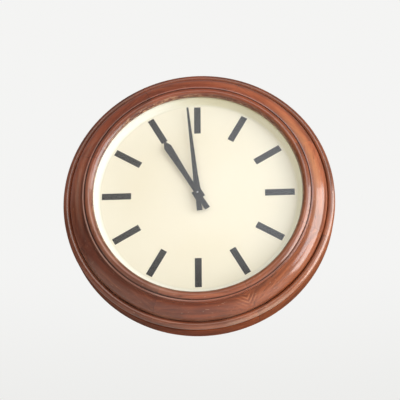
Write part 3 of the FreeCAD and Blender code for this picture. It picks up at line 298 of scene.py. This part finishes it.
def enamelMaterial():
    material, tree, shader, place = newMaterial("dial_enamel")
    clouds = noise(tree, place, 5.0, 3.0, 0.5)
    specks = noise(tree, place, 420.0, 2.0, 0.6)
    peel = noise(tree, place, 160.0, 2.0, 0.5)
    colour = ramp(tree, clouds, [(0.30, (0.910, 0.845, 0.690, 1)), (0.70, (0.945, 0.890, 0.760, 1))])
    colour = blend(tree, maths(tree, "MULTIPLY", between(tree, specks, 0.76, 0.80), 0.35), colour,
                   (0.45, 0.36, 0.24, 1))
    # the flat is paler outwards, painted light against the shade near the rim, and the rim whiter still, with
    # painted shade in the fold between them
    parts = addNode(tree, "ShaderNodeSeparateXYZ", {0: place})
    across, up = parts.outputs[0], parts.outputs[2]
    radius = maths(tree, "SQRT", maths(tree, "ADD", maths(tree, "MULTIPLY", across, across),
                                       maths(tree, "MULTIPLY", up, up)))
    # painted light: paler towards the rim, where the surround shades the flat
    paler = between(tree, radius, dial["paleFrom"], dial["paleTo"], 0.0, 0.6)
    colour = blend(tree, paler, colour, (0.965, 0.925, 0.805, 1))
    rim = between(tree, radius, dial["rimFrom"], dial["rimTo"])
    colour = blend(tree, rim, colour, (0.930, 0.915, 0.835, 1))
    # painted shade: the rim is darker and yellower towards the upper right
    lean = maths(tree, "ADD", maths(tree, "MULTIPLY", across, dial["shadedSide"][0]),
                 maths(tree, "MULTIPLY", up, dial["shadedSide"][1]))
    lean = between(tree, maths(tree, "DIVIDE", lean, radius), 0.1, 0.8, 0.0, 0.75)
    colour = blend(tree, maths(tree, "MULTIPLY", rim, lean), colour, (0.70, 0.64, 0.38, 1))
    # painted shade in the fold between the flat and the rim
    fold = maths(tree, "MULTIPLY", bandAt(tree, radius, dialEdge, dial["foldReach"]), 0.25)
    colour = blend(tree, fold, colour, (0.66, 0.66, 0.53, 1))
    finishShader(tree, shader, Base_Color=colour, Roughness=between(tree, clouds, 0.3, 0.7, 0.42, 0.55),
                 Normal=bump(tree, peel, 0.05, 0.1 * mm), Specular_IOR_Level=0.35)
    return material


def paintMaterial(name, base, roughLow, roughHigh):
    material, tree, shader, place = newMaterial(name)
    dust = noise(tree, place, 60.0, 4.0, 0.65)
    brush = noise(tree, stretch(tree, place, (700.0, 700.0, 120.0)), 1.0, 2.0, 0.5)
    colour = blend(tree, maths(tree, "MULTIPLY", between(tree, dust, 0.5, 0.8), 0.35), base,
                   (0.075, 0.072, 0.066, 1))
    finishShader(tree, shader, Base_Color=colour,
                 Roughness=between(tree, dust, 0.3, 0.7, roughLow, roughHigh),
                 Normal=bump(tree, brush, 0.06, 0.1 * mm), Specular_IOR_Level=0.2)
    return material


def glassMaterial():
    # clear pane: it mirrors the room and lets light straight through to the dial
    material, tree, shader, place = newMaterial("glass")
    smears = noise(tree, stretch(tree, place, (9.0, 9.0, 5.0)), 1.0, 4.0, 0.6)
    finishShader(tree, shader, Base_Color=grey(1.0), Transmission_Weight=1.0, IOR=1.5,
                 Roughness=between(tree, smears, 0.4, 0.8, 0.0, 0.03))
    clear = addNode(tree, "ShaderNodeBsdfTransparent", {"Color": (0.965, 0.975, 0.965, 1)})
    path = addNode(tree, "ShaderNodeLightPath")
    passing = maths(tree, "MAXIMUM", path.outputs["Is Shadow Ray"], path.outputs["Is Diffuse Ray"])
    mixed = addNode(tree, "ShaderNodeMixShader",
                    {0: passing, 1: shader.outputs[0], 2: clear.outputs[0]})
    tree.links.new(mixed.outputs[0], tree.nodes["Material Output"].inputs["Surface"])
    return material


def metalMaterial(name, light, dark, roughness, metallic, grainScale):
    material, tree, shader, place = newMaterial(name)
    tarnish = noise(tree, place, 55.0, 5.0, 0.6)
    scratches = noise(tree, stretch(tree, place, grainScale), 1.0, 3.0, 0.6)
    colour = blend(tree, between(tree, tarnish, 0.42, 0.72), light, dark)
    rough = maths(tree, "ADD", between(tree, scratches, 0.3, 0.7, roughness, roughness + 0.14),
                  between(tree, tarnish, 0.5, 0.8, 0.0, 0.12))
    finishShader(tree, shader, Base_Color=colour, Metallic=metallic, Roughness=rough,
                 Normal=bump(tree, scratches, 0.10, 0.05 * mm))
    return material


def softMaterial(name, light, dark, roughness, scale, relief):
    material, tree, shader, place = newMaterial(name)
    mottle = noise(tree, place, scale, 4.0, 0.6)
    skin = noise(tree, place, scale * 12, 2.0, 0.5)
    colour = blend(tree, between(tree, mottle, 0.35, 0.7), light, dark)
    finishShader(tree, shader, Base_Color=colour,
                 Roughness=between(tree, mottle, 0.3, 0.7, roughness, roughness + 0.15),
                 Normal=bump(tree, skin, relief, 0.1 * mm))
    return material


def tapeMaterial():
    material, tree, shader, place = newMaterial("winding_tape")
    wraps = addNode(tree, "ShaderNodeTexWave", {"Vector": place, "Scale": 60.0, "Distortion": 1.2,
                                                "Detail": 2.0, "Detail Scale": 2.0},
                    bands_direction="X").outputs["Fac"]
    weave = noise(tree, place, 900.0, 2.0, 0.5)
    colour = ramp(tree, wraps, [(0.0, (0.16, 0.10, 0.045, 1)), (0.35, (0.42, 0.29, 0.13, 1)),
                                (1.0, (0.50, 0.36, 0.18, 1))])
    finishShader(tree, shader, Base_Color=colour, Roughness=between(tree, weave, 0.3, 0.7, 0.6, 0.8),
                 Normal=bump(tree, wraps, 0.5, 0.4 * mm))
    return material


slotMaterials = {
    "mahogany": mahogany("mahogany", 1.1, True, 1.0, 0.2, 0.0),
    "plywood": plywoodMaterial(),
    "glass": glassMaterial(),
    "dial_enamel": enamelMaterial(),
    "black_enamel": paintMaterial("black_enamel", (0.016, 0.016, 0.018, 1), 0.42, 0.6),
    "rubber": softMaterial("rubber", (0.022, 0.022, 0.023, 1), (0.045, 0.043, 0.041, 1), 0.65, 80.0, 0.2),
    "brass": metalMaterial("brass", (0.72, 0.50, 0.20, 1), (0.42, 0.27, 0.10, 1), 0.20, 1.0,
                           (900.0, 900.0, 90.0)),
    "bright_steel": metalMaterial("bright_steel", (0.60, 0.60, 0.61, 1), (0.42, 0.42, 0.43, 1), 0.18, 1.0,
                                  (900.0, 120.0, 900.0)),
    "zinc_steel": metalMaterial("zinc_steel", (0.50, 0.50, 0.49, 1), (0.30, 0.29, 0.27, 1), 0.34, 1.0,
                                (300.0, 300.0, 120.0)),
    "core_iron": metalMaterial("core_iron", (0.14, 0.135, 0.13, 1), (0.085, 0.065, 0.05, 1), 0.42, 0.8,
                               (60.0, 1500.0, 60.0)),
    "bakelite": softMaterial("bakelite", (0.060, 0.024, 0.012, 1), (0.030, 0.012, 0.007, 1), 0.28, 60.0, 0.1),
    "winding_tape": tapeMaterial(),
}
drumMaterial = mahogany("mahogany_drum", 0.85, False, 0.0, 0.12, 0.3)
print("materials made,", len(slotMaterials) + 1)

for item in nodes.values():
    for slot in item.material_slots:
        slot.material = slotMaterials[slot.material.name.split(".")[0]]
nodes["rear_drum"].material_slots[0].material = drumMaterial


# Stage

# lamps in metres and watts, all turned towards the middle of the clock
lampAim = (0, -0.07, 0)
lamps = {
    "window": {"place": (2.3, -2.5, 0.35), "width": 1.2, "height": 1.8, "power": 32.0,
               "colour": (0.90, 0.95, 1.0)},
    "side_window": {"place": (1.75, -0.58, -0.12), "width": 1.1, "height": 1.7, "power": 29.0,
                    "colour": (1.0, 0.965, 0.93)},
    "fill": {"place": (-0.3, -3.0, 0.1), "width": 2.4, "height": 1.4, "power": 19.5,
             "colour": (1.0, 0.95, 0.87)},
}


def areaLight(name):
    values = lamps[name]
    lamp = bpy.data.lights.new(name, "AREA")
    lamp.shape = "RECTANGLE"
    lamp.size = values["width"]
    lamp.size_y = values["height"]
    lamp.energy = values["power"]
    lamp.color = values["colour"]
    holder = bpy.data.objects.new(name, lamp)
    bpy.context.collection.objects.link(holder)
    holder.location = values["place"]
    heading = Vector(lampAim) - Vector(values["place"])
    holder.rotation_euler = heading.to_track_quat("-Z", "Y").to_euler()
    holder.visible_transmission = False  # keeps the panel out of the glass
    return holder


def makeFloor():
    floor = {"drop": 1.25, "half": 6.0}
    mesh = bpy.data.meshes.new("floor")
    half = floor["half"]
    corners = [(-half, -half, -floor["drop"]), (half, -half, -floor["drop"]),
               (half, half, -floor["drop"]), (-half, half, -floor["drop"])]
    mesh.from_pydata(corners, [], [(0, 1, 2, 3)])
    item = bpy.data.objects.new("floor", mesh)
    bpy.context.collection.objects.link(item)
    material, tree, shader, place = newMaterial("floor")
    patches = noise(tree, place, 3.0, 3.0, 0.5)
    finishShader(tree, shader, Base_Color=ramp(tree, patches, [(0.3, grey(0.74)), (0.7, grey(0.78))]),
                 Roughness=0.8)
    mesh.materials.append(material)


def makeWorld():
    # pale room: a near white view, a warm light that is weaker from below, and for mirrored rays
    # a dim room that brightens towards the front, above eye level
    room = {"seenLow": (0.84, 0.84, 0.825, 1), "seenHigh": (0.905, 0.905, 0.895, 1),
            "above": (0.58, 0.53, 0.45, 1), "below": (0.27, 0.25, 0.21, 1),
            "front": (0.10, -0.93, 0.355), "mirrorStrength": 3.2,
            "mirror": [(0.86, (0.058, 0.056, 0.053, 1)), (0.93, (0.180, 0.173, 0.160, 1)),
                       (0.974, (0.380, 0.365, 0.330, 1)), (1.00, (0.830, 0.880, 0.950, 1))],
            "mirrorRise": [(0.00, grey(0.5)), (0.295, (0.26, 0.23, 0.19, 1)), (0.342, grey(1.0))]}
    world = bpy.data.worlds.new("room")
    bpy.context.scene.world = world
    world.use_nodes = True
    tree = world.node_tree
    tree.nodes.clear()
    path = addNode(tree, "ShaderNodeLightPath")
    heading = addNode(tree, "ShaderNodeTexCoord").outputs["Generated"]
    rise = addNode(tree, "ShaderNodeSeparateXYZ", {0: heading}).outputs[2]
    facing = addNode(tree, "ShaderNodeVectorMath", {0: heading, 1: room["front"]},
                     operation="DOT_PRODUCT").outputs["Value"]
    seenColour = blend(tree, between(tree, rise, 0.14, 0.32), room["seenLow"], room["seenHigh"])
    litColour = blend(tree, between(tree, rise, -0.5, 0.6), room["below"], room["above"])
    mirrorColour = ramp(tree, facing, room["mirror"])
    mirrorColour = blend(tree, 1.0, mirrorColour, ramp(tree, rise, room["mirrorRise"]), "MULTIPLY")
    seen = addNode(tree, "ShaderNodeBackground", {"Color": seenColour})
    mirrored = addNode(tree, "ShaderNodeBackground",
                       {"Color": mirrorColour, "Strength": room["mirrorStrength"]})
    lit = addNode(tree, "ShaderNodeBackground", {"Color": litColour})
    glossy = addNode(tree, "ShaderNodeMixShader",
                     {0: path.outputs["Is Glossy Ray"], 1: lit.outputs[0], 2: mirrored.outputs[0]})
    direct = maths(tree, "MAXIMUM", path.outputs["Is Camera Ray"], path.outputs["Is Transmission Ray"])
    whole = addNode(tree, "ShaderNodeMixShader", {0: direct, 1: glossy.outputs[0], 2: seen.outputs[0]})
    output = addNode(tree, "ShaderNodeOutputWorld")
    tree.links.new(whole.outputs[0], output.inputs["Surface"])


def makeCamera():
    view = {"lens": 94.5, "sensor": 36, "reach": 60, "eye": (0.128, -2.212, -0.857),
            "aim": (0.0046, -0.070, -0.0130), "roll": math.radians(-0.4)}
    lens = bpy.data.cameras.new("camera")
    lens.lens = view["lens"]
    lens.sensor_width = view["sensor"]
    lens.clip_end = view["reach"]
    holder = bpy.data.objects.new("camera", lens)
    bpy.context.collection.objects.link(holder)
    eye = Vector(view["eye"])
    holder.location = eye
    facing = (Vector(view["aim"]) - eye).to_track_quat("-Z", "Y").to_matrix().to_4x4()
    holder.rotation_euler = (facing @ Matrix.Rotation(view["roll"], 4, "Z")).to_euler()
    bpy.context.scene.camera = holder


makeFloor()
makeWorld()
areaLight("window")
areaLight("side_window")
fill = areaLight("fill")
fill.visible_glossy = False  # lifts the shade without a gleam of its own
makeCamera()
bpy.context.scene.view_settings.view_transform = "Standard"
print("stage set")
